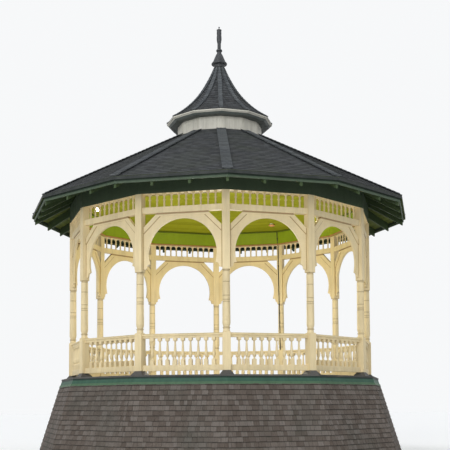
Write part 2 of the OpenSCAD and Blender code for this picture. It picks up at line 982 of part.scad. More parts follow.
base_wall(0);  // base_wall_front_right
base_wall(1);  // base_wall_back_right
base_wall(2);  // base_wall_back_left
base_wall(3);  // base_wall_front_left
centre_pier();
floor_joists();
deck_edge_board();
deck_floor();
post(0);  // post_01
post(1);  // post_02
post(2);  // post_03
post(3);  // post_04
post(4);  // post_05
post(5);  // post_06
post(6);  // post_07
post(7);  // post_08
post(8);  // post_09
post(9);  // post_10
post(10);  // post_11
post(11);  // post_12
balustrade(0);  // balustrade_front_right
balustrade(1);  // balustrade_back_right
balustrade(2);  // balustrade_back_left
balustrade(3);  // balustrade_front_left
arches(0);  // arches_front_right
arches(1);  // arches_back_right
arches(2);  // arches_back_left
arches(3);  // arches_front_left
frieze(0);  // frieze_front_right
frieze(1);  // frieze_back_right
frieze(2);  // frieze_back_left
frieze(3);  // frieze_front_left
top_beam();
ceiling_cove();
ceiling();
lamp_holders();
lamp_bulbs();
hip_rafters();
jack_rafters();
roof(0);  // roof_front_right
roof(1);  // roof_back_right
roof(2);  // roof_back_left
roof(3);  // roof_front_left
eave_board();
cupola_drum();
cupola_cornice();
cupola_roof();
bell_cap();
finial();
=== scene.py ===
import math

import bpy
import numpy as np
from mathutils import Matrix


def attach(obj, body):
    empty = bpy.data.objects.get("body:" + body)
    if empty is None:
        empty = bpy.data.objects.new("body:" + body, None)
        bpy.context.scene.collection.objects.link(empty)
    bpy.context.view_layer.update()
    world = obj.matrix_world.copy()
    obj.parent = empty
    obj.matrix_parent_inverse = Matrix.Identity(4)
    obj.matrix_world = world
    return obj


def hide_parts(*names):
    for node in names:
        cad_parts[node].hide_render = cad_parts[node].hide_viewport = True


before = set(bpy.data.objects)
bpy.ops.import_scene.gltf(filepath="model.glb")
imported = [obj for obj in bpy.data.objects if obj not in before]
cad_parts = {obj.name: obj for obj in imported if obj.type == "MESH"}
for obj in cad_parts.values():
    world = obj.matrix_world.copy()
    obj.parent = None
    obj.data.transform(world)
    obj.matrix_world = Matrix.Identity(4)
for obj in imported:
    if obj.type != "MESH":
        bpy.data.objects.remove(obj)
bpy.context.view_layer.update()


# The studio: a pale level floor, an even sky, soft lamps high, aside and low in
# front, and one in the room for the ceiling. The camera stands at eye height a
# little left of the front post, with its view raised to take in the finial.
def add(tree, kind, settings=(), **sockets):
    """A node of a kind, with its settings, and with values or links put in.
    A socket goes by its name, or by its number as i0, i1 and so on."""
    node = tree.nodes.new("ShaderNode" + kind)
    for key, value in dict(settings).items():
        setattr(node, key, value)
    for key, value in sockets.items():
        place = int(key[1:]) if key[0] == "i" and key[1:].isdigit() else key.replace("_", " ")
        if isinstance(value, bpy.types.NodeSocket):
            tree.links.new(value, node.inputs[place])
        else:
            node.inputs[place].default_value = value
    return node


def reckon(tree, operation, *values):
    """The result of one operation on numbers or links."""
    sockets = {"i%d" % number: value for number, value in enumerate(values)}
    return add(tree, "Math", {"operation": operation}, **sockets).outputs[0]


world = bpy.data.worlds.new("even sky")
bpy.context.scene.world = world
world.use_nodes = True
sky = world.node_tree
sky_light = sky.nodes["Background"]
sky_light.inputs["Color"].default_value = (0.93, 0.96, 1.0, 1)
sky_light.inputs["Strength"].default_value = 0.54
backdrop = add(sky, "Background", Color=(0.93, 0.94, 0.95, 1), Strength=1.0)
seen_by = add(sky, "LightPath")
seen = seen_by.outputs["Is Camera Ray"]
for other_ray in ("Is Glossy Ray", "Is Transmission Ray"):
    seen = reckon(sky, "MAXIMUM", seen, seen_by.outputs[other_ray])
choose = add(sky, "MixShader", i0=seen, i1=sky_light.outputs[0], i2=backdrop.outputs[0])
sky.links.new(choose.outputs[0], sky.nodes["World Output"].inputs["Surface"])

for lamp_name, tilt, aside, strength, softness in [
    ("high lamp", 40, -38, 0.62, 0.35),
    ("fill lamp", 60, 62, 0.22, 0.9),
    ("low lamp", 84, -20, 1.45, 0.6),
]:
    lamp = bpy.data.lights.new(lamp_name, "SUN")
    lamp.energy = strength
    lamp.angle = softness
    lamp_object = bpy.data.objects.new(lamp_name, lamp)
    lamp_object.rotation_euler = (math.radians(tilt), 0, math.radians(aside))
    bpy.context.scene.collection.objects.link(lamp_object)

room_lamp = bpy.data.lights.new("room lamp", "POINT")
room_lamp.energy = 360.0
room_lamp.shadow_soft_size = 1.0
room_lamp.color = (1.0, 0.92, 0.76)
room_lamp_object = bpy.data.objects.new("room lamp", room_lamp)
room_lamp_object.location = (0.0, 0.0, 4.6)
room_lamp_object.visible_camera = False
bpy.context.scene.collection.objects.link(room_lamp_object)

FLOOR_OWN_LIGHT = 0.24
bpy.ops.mesh.primitive_plane_add(size=240)
floor = bpy.context.object
floor.name = "studio_floor"
floor_paint = bpy.data.materials.new("pale floor")
floor_paint.use_nodes = True
floor_tree = floor_paint.node_tree
floor_shader = floor_tree.nodes["Principled BSDF"]
floor_shader.inputs["Base Color"].default_value = (0.90, 0.90, 0.89, 1)
floor_shader.inputs["Roughness"].default_value = 0.95
floor_shader.inputs["Specular IOR Level"].default_value = 0.1
floor_shader.inputs["Emission Color"].default_value = (0.98, 0.99, 1.0, 1)
floor_seen = add(floor_tree, "LightPath").outputs["Is Camera Ray"]
whiter = reckon(floor_tree, "MULTIPLY", floor_seen, FLOOR_OWN_LIGHT)
floor_tree.links.new(whiter, floor_shader.inputs["Emission Strength"])
floor.data.materials.append(floor_paint)

CAMERA_AWAY = 25.567
EYE_HEIGHT = 1.6
view_turn = math.radians(1.92)
camera_data = bpy.data.cameras.new("camera")
camera_data.sensor_width = 36.0
camera_data.lens = 73.4904
camera_data.shift_x = 0.00947
camera_data.shift_y = 0.27031
camera_data.clip_end = 500.0
camera = bpy.data.objects.new("camera", camera_data)
camera.location = (
    -CAMERA_AWAY * math.sin(view_turn), -CAMERA_AWAY * math.cos(view_turn), EYE_HEIGHT,
)
camera.rotation_mode = "XYZ"
camera.rotation_euler = (math.radians(93.51), math.radians(0.2994), math.radians(-1.9016))
bpy.context.scene.collection.objects.link(camera)
bpy.context.scene.camera = camera
bpy.context.scene.view_settings.view_transform = "Standard"


# The base: twelve leaning stud walls clad in square-cut cedar shingles, nailed
# on in courses from the ground up. Each course laps the one below it, and the
# shingles are cut to a mitre where two walls meet.
SIDES = 12
SIDE_TURNS = np.radians(-75 + 30 * np.arange(SIDES))
HALF_SIDE = math.tan(math.pi / SIDES)


def measure(line):
    """A line's points, the distance run to each of them, and the slope and the
    middle of each leg, from which a place and a slope are read off."""
    line = np.asarray(line, float)
    legs = np.diff(line, axis=0)
    lengths = np.hypot.reduce(legs, axis=1)
    run = np.concatenate([[0.0], np.cumsum(lengths)])
    return line, run, legs / lengths[:, None], (run[1:] + run[:-1]) / 2


def make_piece(name, points, quads, flat_map, tone):
    """A mesh of quads, with a flat map in metres and one tone for each face."""
    mesh = bpy.data.meshes.new(name)
    mesh.from_pydata(points.tolist(), [], quads.tolist())
    layer = mesh.uv_layers.new(name="flat")
    layer.data.foreach_set("uv", flat_map[quads.ravel()].ravel())
    shade = mesh.attributes.new("tone", "FLOAT", "FACE")
    shade.data.foreach_set("value", tone.astype(np.float32))
    mesh.validate()
    piece = bpy.data.objects.new(name, mesh)
    bpy.context.scene.collection.objects.link(piece)
    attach(piece, "root")
    return piece


def make_many(name, points, flat_map, faces, draw):
    """Many like pieces in one mesh. They have the same faces, and each gets a
    random start sideways on the flat map and a random tone."""
    flat_map[..., 0] += draw.uniform(0, 90, (len(points), 1))
    tone = np.repeat(draw.uniform(0, 1, len(points)), len(faces))
    quads = np.array(faces) + points.shape[1] * np.arange(len(points))[:, None, None]
    quads = quads.reshape(-1, 4)
    return make_piece(name, points.reshape(-1, 3), quads, flat_map.reshape(-1, 2), tone)


def lay_courses(
    name, profile, step, length, butt, tip, gap, seed, width=None, bonded=True, least=0.012,
):
    """Pieces laid in courses on the twelve sides of the building.

    A side is its profile, a line of (distance from the middle, height), swept
    sideways; at a distance a it reaches a * tan(15 degrees) to either hand. A
    piece of course j is a wedge with eight corners: along the profile it runs
    from j * step to j * step + length, sideways between two joints, and it is
    raised along the normal by butt at its low end and tip at its high end.
    Joints are running sums of random widths, held to the reach of the side.
    Pieces narrower than least are left out. Bonded pieces differ a little in
    place and thickness; boards that aren't bonded have equal widths, and
    without a width one board goes right across.
    The flat map counts the distance along the profile from a piece's low end.
    """
    draw = np.random.default_rng(seed)
    line, run, slope, middle = measure(profile)

    count = int(math.ceil((run[-1] - 1e-6) / step))
    t0 = np.arange(count) * step
    t1 = np.minimum(t0 + length, run[-1])
    widest = line[:, 0].max() * HALF_SIDE * 2
    width = width or (widest, widest)
    across = int(widest / width[0]) + 3 * bonded
    wide = draw.uniform(width[0], width[1], (count, SIDES, across))
    first = draw.uniform(0, width[1], (count, SIDES, 1))
    first = first if bonded else (wide.sum(axis=2, keepdims=True) - widest) / 2
    right = np.cumsum(wide, axis=2) - first - widest / 2
    left = right - wide + gap
    shift = draw.uniform(-0.03, 0.03, wide.shape) * step * bonded
    raise_by = 1 + draw.uniform(-0.18, 0.12, wide.shape) * bonded

    def corner(along, side_edge, lift):
        """One corner of every piece: its place, and its point on the flat map."""
        a = np.interp(along, run, line[:, 0])
        z = np.interp(along, run, line[:, 1])
        lean = np.stack([np.interp(along, middle, slope[:, k]) for k in (0, 1)], -1)
        a = a + lean[..., 1] * lift
        z = z - lean[..., 0] * lift
        reach = a * HALF_SIDE - gap / 2
        s = np.clip(side_edge, -reach, reach)
        turn = SIDE_TURNS[None, :, None]
        x = np.cos(turn) * a - np.sin(turn) * s
        y = np.sin(turn) * a + np.cos(turn) * s
        return np.stack([x, y, z + 0 * x], -1), np.stack([s, along + 0 * s], -1)

    low = t0[:, None, None] + shift + 0 * wide
    low = np.maximum(low, 0.0)
    high = t1[:, None, None] + 0 * wide
    flat = np.zeros_like(wide)
    parts = [
        corner(low, left, flat), corner(low, right, flat),
        corner(high, right, flat), corner(high, left, flat),
        corner(low, left, butt * raise_by), corner(low, right, butt * raise_by),
        corner(high, right, flat + tip), corner(high, left, flat + tip),
    ]
    points = np.stack([p for p, _ in parts], 3)
    flat_map = np.stack([m for _, m in parts], 3)
    keep = (flat_map[..., 1, 0] - flat_map[..., 0, 0] > least).reshape(-1)
    points = points.reshape(-1, 8, 3)[keep]
    flat_map = flat_map.reshape(-1, 8, 2)[keep]
    flat_map[..., 1] -= flat_map[:, :1, 1]
    faces = [
        [4, 5, 6, 7], [3, 2, 1, 0], [0, 1, 5, 4],
        [1, 2, 6, 5], [2, 3, 7, 6], [3, 0, 4, 7],
    ]
    return make_many(name, points, flat_map, faces, draw)


def blend(tree, share, first, second, how="MIX"):
    """Two colours mixed by a share, either of them a colour or a link."""
    node = add(tree, "Mix", {"data_type": "RGBA", "blend_type": how}, i0=share)
    for place, value in ((6, first), (7, second)):
        if isinstance(value, bpy.types.NodeSocket):
            tree.links.new(value, node.inputs[place])
        else:
            node.inputs[place].default_value = (*value, 1)
    return node.outputs[2]


def ramp(tree, value, stops):
    """Colours spread over a value from 0 to 1, as (place, colour) stops."""
    node = add(tree, "ValToRGB", i0=value)
    for index, (place, colour) in enumerate(stops):
        if index > 1:
            node.color_ramp.elements.new(place)
        stop = node.color_ramp.elements[index]
        stop.position = place
        stop.color = (*colour, 1)
    return node.outputs[0]


def fade(tree, value, start, end, first=0.0, last=1.0):
    """Runs from first to last while the value runs from start to end."""
    node = add(tree, "MapRange", Value=value, i1=start, i2=end, i3=first, i4=last)
    return node.outputs[0]


def place_on(tree):
    """A point's place in metres, from the middle of the building's foot."""
    return add(tree, "TexCoord").outputs["Object"]


def stretch(tree, place, scale):
    """A place with each of its three parts multiplied by its own scale."""
    return add(tree, "Mapping", Vector=place, Scale=scale).outputs[0]


def noise(tree, place, scale, detail, roughness=0.5):
    """Cloudy noise from 0 to 1 at a place, with finer and finer detail."""
    node = add(tree, "TexNoise", Vector=place, Scale=scale, Detail=detail, Roughness=roughness)
    return node.outputs[0]


def new_finish(name):
    """An empty finish: its node tree and its shader."""
    finish = bpy.data.materials.new(name)
    finish.use_nodes = True
    return finish, finish.node_tree, finish.node_tree.nodes["Principled BSDF"]


def put_on(tree, shader, colour, relief, strength, depth):
    """The shader gets its colour, and a fine relief of so many metres' depth."""
    tree.links.new(colour, shader.inputs["Base Color"])
    bump = add(tree, "Bump", Height=relief, Strength=strength, Distance=depth)
    tree.links.new(bump.outputs[0], shader.inputs["Normal"])


def piece_tone(tree):
    """The tone that each shingle or board was given when it was laid."""
    node = add(tree, "Attribute", {"attribute_name": "tone", "attribute_type": "GEOMETRY"})
    return node.outputs["Fac"]


def shingle_finish(name, stops, stain, stain_share, step):
    """Split wood, grey from weather. Each piece has its own tone, streaks of
    grain run up the piece, and broad stains cross many pieces. Dirt darkens the
    frayed low end, and painted shade darkens the wood close under the piece
    above, a step higher."""
    finish, tree, shader = new_finish(name)
    flat = add(tree, "UVMap", {"uv_map": "flat"}).outputs[0]
    grain = noise(tree, stretch(tree, flat, (70, 5, 1)), 1.0, 5.0, 0.65)
    broad = noise(tree, place_on(tree), 0.9, 4.0)
    shade = ramp(tree, piece_tone(tree), stops)
    streak = ramp(tree, grain, [(0.3, (0.62, 0.62, 0.62)), (0.72, (1.18, 1.17, 1.14))])
    shade = blend(tree, 0.85, shade, streak, "MULTIPLY")
    shade = blend(tree, fade(tree, broad, 0.48, 0.72, 0.0, stain_share), shade, stain)
    up = add(tree, "SeparateXYZ", Vector=flat).outputs[1]
    frayed = fade(tree, up, 0.0, 0.012, 0.45, 0.0)
    # Painted shade: the wood just under the butt of the piece above is darkened.
    lap_shade = fade(tree, up, step - 0.022, step - 0.002, 0.0, 0.75)
    dirt_and_shade = reckon(tree, "MAXIMUM", frayed, lap_shade)
    shade = blend(tree, dirt_and_shade, shade, [0.3 * c for c in stain])
    put_on(tree, shader, shade, grain, 0.6, 0.003)
    shader.inputs["Roughness"].default_value = 0.88
    shader.inputs["Specular IOR Level"].default_value = 0.25
    return finish


WALL_COURSE = 0.1245
wall_shingles = lay_courses(
    "wall_shingles", [(4.9263, 0.0), (4.2912, 2.094)],
    step=WALL_COURSE, length=0.146, butt=0.017, tip=0.001,
    gap=0.005, seed=11, width=(0.085, 0.19),
)
wall_shingles.data.materials.append(shingle_finish(
    "weathered wall shingles",
    [(0.0, (0.100, 0.080, 0.067)), (0.3, (0.126, 0.103, 0.088)), (0.6, (0.150, 0.127, 0.111)),
     (0.85, (0.178, 0.155, 0.139)), (1.0, (0.112, 0.091, 0.077))],
    stain=(0.072, 0.076, 0.064), stain_share=0.5, step=WALL_COURSE,
))


def paint(finish, *names):
    """The frame's own nodes get a finish in each of their slots."""
    for name in names:
        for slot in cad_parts[name].material_slots:
            slot.material = finish


def bare_timber(name, light, dark):
    """Sawn wood left bare: long soft grain, darker streaks and a rough face."""
    finish, tree, shader = new_finish(name)
    here = place_on(tree)
    grain = noise(tree, stretch(tree, here, (26, 26, 3)), 1.0, 6.0, 0.7)
    shade = ramp(tree, grain, [(0.3, dark), (0.7, light)])
    shade = blend(tree, noise(tree, here, 1.7, 3.0), shade, [0.7 * c for c in dark])
    put_on(tree, shader, shade, grain, 0.5, 0.002)
    shader.inputs["Roughness"].default_value = 0.85
    return finish


QUARTERS = ("front_right", "back_right", "back_left", "front_left")
paint(
    bare_timber("wall sheathing", light=(0.13, 0.10, 0.08), dark=(0.07, 0.055, 0.045)),
    *["base_wall_" + quarter for quarter in QUARTERS],
)


# The deck: softwood boards laid from the edge to the middle on joists, which a
# pier carries, and mitred at the corners. A painted board covers the joists'
# ends, and a paler skirt board is nailed on under it over the top shingles.
DECK_UNDER = 2.225
DECK_BOARD = 0.04
DECK_TOP = DECK_UNDER + DECK_BOARD
deck_boards = lay_courses(
    "deck_boards", [(4.2623, DECK_UNDER), (0.0, DECK_UNDER)],
    step=0.1055, length=0.1005, butt=DECK_BOARD, tip=DECK_BOARD,
    gap=0.005, seed=21, bonded=False,
)


def board_finish(name, stops, worn, worn_share, roughness):
    """Painted boards: a tone for each, fine grain under the paint along the
    board, and places where it has worn through to the wood."""
    finish, tree, shader = new_finish(name)
    flat = add(tree, "UVMap", {"uv_map": "flat"}).outputs[0]
    grain = noise(tree, stretch(tree, flat, (3, 60, 1)), 1.0, 5.0, 0.6)
    wear = noise(tree, place_on(tree), 2.6, 7.0, 0.7)
    shade = ramp(tree, piece_tone(tree), stops)
    fibre = ramp(tree, grain, [(0.3, (0.86, 0.85, 0.83)), (0.7, (1.06, 1.06, 1.05))])
    shade = blend(tree, 0.8, shade, fibre, "MULTIPLY")
    shade = blend(tree, fade(tree, wear, 0.54, 0.66, 0.0, worn_share), shade, worn)
    put_on(tree, shader, shade, grain, 0.35, 0.0015)
    matt = fade(tree, wear, 0.4, 0.66, roughness, 0.85)
    tree.links.new(matt, shader.inputs["Roughness"])
    shader.inputs["Specular IOR Level"].default_value = 0.25
    return finish


deck_boards.data.materials.append(board_finish(
    "dark deck paint, walked on",
    [(0.0, (0.066, 0.067, 0.064)), (0.5, (0.084, 0.084, 0.080)), (1.0, (0.105, 0.104, 0.098))],
    worn=(0.17, 0.140, 0.105), worn_share=0.6, roughness=0.72,
))
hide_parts("deck_floor")
paint(
    bare_timber("sawn framing", light=(0.42, 0.31, 0.19), dark=(0.27, 0.19, 0.115)),
    "floor_joists", "centre_pier",
)


def painted_timber(name, colour, grime, bare, grime_share=0.35, flat_grain=False, shine=0.5):
    """Paint on planed wood. Its colour drifts a little over a metre, rain has
    drawn faint streaks of grime down it, here and there it has flaked to the
    wood, and the grain shows through as fine ridges, upright or flat."""
    finish, tree, shader = new_finish(name)
    here = place_on(tree)
    drift = noise(tree, here, 1.4, 3.0)
    streaks = noise(tree, stretch(tree, here, (9, 9, 0.9)), 1.0, 4.0, 0.6)
    ridge_scale = (7, 7, 90) if flat_grain else (85, 85, 5)
    ridges = noise(tree, stretch(tree, here, ridge_scale), 1.0, 5.0, 0.65)
    flakes = noise(tree, here, 7.0, 8.0, 0.75)
    shade = ramp(tree, drift, [
        (0.3, [0.90 * c for c in colour]), (0.7, [min(1.04 * c, 0.9) for c in colour]),
    ])
    shade = blend(tree, fade(tree, streaks, 0.45, 0.75, 0.0, grime_share), shade, grime)
    fine = ramp(tree, ridges, [(0.35, (0.72, 0.70, 0.66)), (0.6, (1.0, 1.0, 1.0))])
    shade = blend(tree, 0.2, shade, fine, "MULTIPLY")
    gone = fade(tree, flakes, 0.685, 0.71, 0.0, 0.85)
    shade = blend(tree, gone, shade, bare)
    put_on(tree, shader, shade, reckon(tree, "MULTIPLY_ADD", gone, -1.5, ridges), 0.2, 0.0012)
    matt = fade(tree, flakes, 0.3, 0.72, 0.42, 0.75)
    tree.links.new(matt, shader.inputs["Roughness"])
    shader.inputs["Specular IOR Level"].default_value = shine
    return finish


def repaint(finish, mask, tint):
    """The finish's colour, multiplied by a tint where the mask is 1."""
    tree = finish.node_tree
    base = tree.nodes["Principled BSDF"].inputs["Base Color"]
    tree.links.new(blend(tree, mask, base.links[0].from_socket, tint, "MULTIPLY"), base)


def shade_by_height(finish, low, high, stops):
    """The finish's colour, multiplied by colours spread over the height. Each
    stop is a height and a colour; the heights run up from low to high."""
    tree = finish.node_tree
    z = add(tree, "SeparateXYZ", Vector=place_on(tree)).outputs[2]
    stops = [((at - low) / (high - low), colour) for at, colour in stops]
    repaint(finish, 1.0, ramp(tree, fade(tree, z, low, high), stops))


CLEAN = (1, 1, 1)
EDGE_FOOT = 2.10
BARE_EDGE = (0.30, 0.26, 0.20)
edge_paint = painted_timber(
    "green deck edge paint", colour=(0.048, 0.112, 0.078), grime=(0.028, 0.052, 0.036),
    bare=BARE_EDGE, flat_grain=True, shine=0.15,
)
# Painted shade: the top of the edge board is darkened where the deck's nosing shades it.
shade_by_height(edge_paint, EDGE_FOOT, DECK_UNDER, [
    (EDGE_FOOT, CLEAN), (2.180, CLEAN),
    (2.186, (0.50, 0.42, 0.48)), (DECK_UNDER, (0.45, 0.38, 0.44)),
])
paint(edge_paint, "deck_edge_board")

CORNER_TURNS = np.radians(-90 + 30 * np.arange(SIDES))
CORNER_COS = math.cos(math.pi / SIDES)


def carry_round(name, section):
    """A moulding run round the twelve corners of the building. Its section is
    a closed line of (distance, height) points, drawn anticlockwise; at a
    corner each point stands at distance / cos(15 degrees) from the middle."""
    section, girth = measure(section)[:2]
    count = len(section)
    turn = CORNER_TURNS[:, None]
    r = section[:, 0] / CORNER_COS
    points = np.stack([np.cos(turn) * r, np.sin(turn) * r, section[:, 1] + 0 * turn], -1)
    bay, step = np.meshgrid(np.arange(SIDES), np.arange(count), indexing="ij")
    here, after = bay * count, (bay + 1) % SIDES * count
    onward = (step + 1) % count
    quads = np.stack([here + step, after + step, after + onward, here + onward], -1)
    quads = quads.reshape(-1, 4)
    flat_map = np.stack([turn * r, girth + 0 * turn], -1).reshape(-1, 2)
    return make_piece(name, points.reshape(-1, 3), quads, flat_map, np.full(len(quads), 0.5))


edge_skirt = carry_round("edge_skirt", [
    (4.2932, 2.043), (4.3207, 2.043), (4.3040, 2.098), (4.3000, 2.102), (4.2754, 2.102),
])
# Painted light: the skirt's paler green stands for the board growing lighter downwards, away from
# the nosing's shade.
edge_skirt.data.materials.append(painted_timber(
    "light green skirt paint", colour=(0.080, 0.150, 0.088), grime=(0.040, 0.068, 0.040),
    bare=BARE_EDGE, flat_grain=True, shine=0.15,
))


# The posts: twelve turned posts of one pattern, with a splayed foot, a square
# pedestal, a ringed neck and a tapering shaft. Painted cream down to feet dark
# like the deck, with painted shade and dirt in the grooves and by the rings.
def cream_paint(name, grime_share=0.30, **more):
    """The cream of all the trim, with brown grime, and pine where it flaked."""
    return painted_timber(
        name, colour=(0.80, 0.66, 0.39), grime=(0.40, 0.30, 0.15), bare=(0.34, 0.25, 0.15),
        grime_share=grime_share, **more,
    )


FOOT_TOP = 2.365
DARK_FOOT = (0.094, 0.109, 0.170)
RING_HEIGHTS = (3.352, 3.379, 3.974, 4.022, 4.119, 4.445, 4.699, 4.733)
RING_SHADE_AND_DIRT = (0.42, 0.38, 0.32)
RING_SHADE_REACH = 0.011
post_paint = cream_paint("cream post paint")
post_stops = [(DECK_TOP, DARK_FOOT), (FOOT_TOP - 0.0005, DARK_FOOT), (FOOT_TOP + 0.0005, CLEAN)]
# Painted shade and dirt: a narrow band at each ring's height is darkened.
for ring_z in RING_HEIGHTS:
    post_stops.append((ring_z - RING_SHADE_REACH, CLEAN))
    post_stops.append((ring_z, RING_SHADE_AND_DIRT))
    post_stops.append((ring_z + RING_SHADE_REACH, CLEAN))
shade_by_height(post_paint, DECK_TOP, 4.80, post_stops)
paint(post_paint, *["post_%02d" % number for number in range(1, SIDES + 1)])


# The railing: between each two posts a bottom rail, turned balusters with
# square ends, and a bevelled handrail, all of wood, tenoned and painted.
cream = cream_paint("cream trim paint")
paint(cream, *["balustrade_" + quarter for quarter in QUARTERS])


# The arches: boards cut to a round arch with stepped feet, set between the
# posts, with a straight brace across each upper corner. Painted shade darkens
# the boards close under the frieze, under the braces and beside the posts.
def side_place(tree):
    """A point's place on its own side of the building: distance out, sideways
    and height. The twelve sides are folded on to one, where the distance is
    r * cos(angle - middle of side) and sideways is r * sin of the same."""
    part = add(tree, "SeparateXYZ", Vector=place_on(tree))
    x, y, z = part.outputs
    share = reckon(tree, "DIVIDE", reckon(tree, "ARCTAN2", y, x), math.radians(30))
    off = reckon(tree, "SUBTRACT", share, reckon(tree, "FLOOR", share))
    swing = reckon(tree, "MULTIPLY_ADD", off, math.radians(30), math.radians(-15))
    r = reckon(tree, "SQRT", reckon(tree, "MULTIPLY_ADD", y, y, reckon(tree, "MULTIPLY", x, x)))
    out = reckon(tree, "MULTIPLY", r, reckon(tree, "COSINE", swing))
    aside = reckon(tree, "MULTIPLY", r, reckon(tree, "SINE", swing))
    return out, aside, z


arch_paint = cream_paint("cream arch paint", grime_share=0.18, flat_grain=True)
# Painted shade: the boards are darkened close under the frieze beam.
shade_by_height(arch_paint, 6.0, 6.2, [
    (6.0, CLEAN), (6.113, CLEAN), (6.121, (0.50, 0.42, 0.34)), (6.2, (0.38, 0.30, 0.22)),
])
BRACE_EDGE = 6.6405
STRIP_HALF = 0.014
CROWN_FOOT = 6.077
POST_FACE = 0.956
arch_tree = arch_paint.node_tree
aside, height = side_place(arch_tree)[1:]
aside = reckon(arch_tree, "ABSOLUTE", aside)
# Painted shade: a strip under each brace's lower edge, and the boards beside each post.
slant = reckon(arch_tree, "ADD", aside, height)
shade_under_brace = reckon(arch_tree, "COMPARE", slant, BRACE_EDGE - STRIP_HALF, STRIP_HALF)
below_crown = reckon(arch_tree, "LESS_THAN", height, CROWN_FOOT)
shade_under_brace = reckon(arch_tree, "MULTIPLY", shade_under_brace, below_crown)
shade_beside_post = reckon(arch_tree, "GREATER_THAN", aside, POST_FACE)
joints = reckon(arch_tree, "MAXIMUM", shade_under_brace, shade_beside_post)
repaint(arch_paint, joints, (0.54, 0.46, 0.36))
paint(arch_paint, *["arches_" + quarter for quarter in QUARTERS])


# The frieze: a beam over each arch, and on it a row of short turned spindles
# with flared caps that hold up the top beam, painted with the rest.
paint(cream, *["frieze_" + quarter for quarter in QUARTERS])


# The ring beam and the cove: timbers over the posts, dark green outside and
# cream below, and leaning boards that hide them from inside. A ledge with a
# rounded nose caps the frieze, and a small moulding meets the ceiling.
BEAM_FACE = 4.048
beam_paint = cream_paint("cream beam paint", grime_share=0.18, flat_grain=True, shine=0.3)
from_middle = side_place(beam_paint.node_tree)[0]
outer_face = reckon(beam_paint.node_tree, "GREATER_THAN", from_middle, BEAM_FACE)
repaint(beam_paint, outer_face, (0.060, 0.110, 0.105))
paint(beam_paint, "top_beam")


def rounded_nose(a, z, out, deep, steps=7):
    """A board whose inner edge is a half circle: back edge straight at a,
    nose at a - out, from z down to z - deep."""
    swing = np.linspace(math.pi / 2, 3 * math.pi / 2, steps)
    nose_a = a - out + deep / 2 + np.cos(swing) * deep / 2
    nose_z = z - deep / 2 + np.sin(swing) * deep / 2
    return [(a, z)] + list(zip(nose_a, nose_z)) + [(a, z - deep)]


CEILING_EDGE_Z = 7.06
BARE_COVE = (0.30, 0.22, 0.12)
cove_green = painted_timber(
    "leaf green paint", colour=(0.245, 0.335, 0.010), grime=(0.15, 0.20, 0.010),
    bare=BARE_COVE, grime_share=0.2, flat_grain=True, shine=0.2,
)
paint(cove_green, "ceiling_cove")
ledge = carry_round("cove_ledge", rounded_nose(3.82, 6.660, out=0.055, deep=0.034))
ledge.data.materials.append(painted_timber(
    "stained ledge wood", colour=(0.46, 0.225, 0.075), grime=(0.20, 0.09, 0.03),
    bare=(0.5, 0.33, 0.18), grime_share=0.4, flat_grain=True,
))
bed_moulding = carry_round(
    "ceiling_moulding", rounded_nose(3.745, CEILING_EDGE_Z, out=0.045, deep=0.045),
)
# Painted shade: the moulding is darker than the cove, for the shade line where the cove meets the
# ceiling.
bed_moulding.data.materials.append(painted_timber(
    "dark green moulding paint", colour=(0.105, 0.14, 0.010), grime=(0.06, 0.08, 0.010),
    bare=BARE_COVE, grime_share=0.2, flat_grain=True, shine=0.2,
))


# The ceiling: narrow tongued boards nailed up under the rafters, parallel to
# the sides, so that twelve flat sectors rise to the middle.
ceiling_boards = lay_courses(
    "ceiling_boards", [(0.0, 8.410), (3.7613, CEILING_EDGE_Z)],
    step=0.0905, length=0.0875, butt=0.009, tip=0.009, gap=0.003, seed=31, bonded=False,
)
ceiling_boards.data.materials.append(board_finish(
    "golden green ceiling paint",
    [(0.0, (0.275, 0.295, 0.010)), (0.5, (0.310, 0.330, 0.013)), (1.0, (0.345, 0.362, 0.017))],
    worn=(0.27, 0.25, 0.03), worn_share=0.35, roughness=0.6,
))
paint(cove_green, "ceiling")


# The lamps: glazed porcelain holders screwed to wooden blocks on the ceiling
# close to four corners, two with bare opal bulbs that are lit, and two with
# shallow bowls of amber glass that aren't.
def lamp_finish(name, colour, roughness):
    """Glazed ware or opal glass: smooth, with dust that dulls it unevenly."""
    finish, tree, shader = new_finish(name)
    dust = noise(tree, place_on(tree), 30.0, 5.0)
    dusty = fade(tree, dust, 0.5, 0.8, 0.0, 0.4)
    shade = blend(tree, dusty, colour, [0.6 * c for c in colour])
    tree.links.new(shade, shader.inputs["Base Color"])
    dull = fade(tree, dust, 0.4, 0.8, roughness, roughness + 0.3)
    tree.links.new(dull, shader.inputs["Roughness"])
    return finish


paint(
    lamp_finish("porcelain lamp holders", colour=(0.74, 0.71, 0.62), roughness=0.18),
    "lamp_holders",
)

# The two bowls hang within 2.85 m of a line 0.35 m left of the middle, and the
# two bulbs hang further out.
BOWLS_MIDDLE = -0.35
BOWLS_REACH = 2.85
lamp_glass = lamp_finish(
    "opal and amber lamp glass", colour=(0.82, 0.80, 0.74), roughness=0.12,
)
glass_tree = lamp_glass.node_tree
across = add(glass_tree, "SeparateXYZ", Vector=place_on(glass_tree)).outputs[0]
far_out = reckon(glass_tree, "ABSOLUTE", reckon(glass_tree, "SUBTRACT", across, BOWLS_MIDDLE))
bowl = reckon(glass_tree, "LESS_THAN", far_out, BOWLS_REACH)
repaint(lamp_glass, bowl, (1.0, 0.48, 0.24))
glass_shader = glass_tree.nodes["Principled BSDF"]
glow = blend(glass_tree, bowl, (1.0, 0.80, 0.50), (0.0, 0.0, 0.0))
glass_tree.links.new(glow, glass_shader.inputs["Emission Color"])
glass_shader.inputs["Emission Strength"].default_value = 30.0
paint(lamp_glass, "lamp_bulbs")


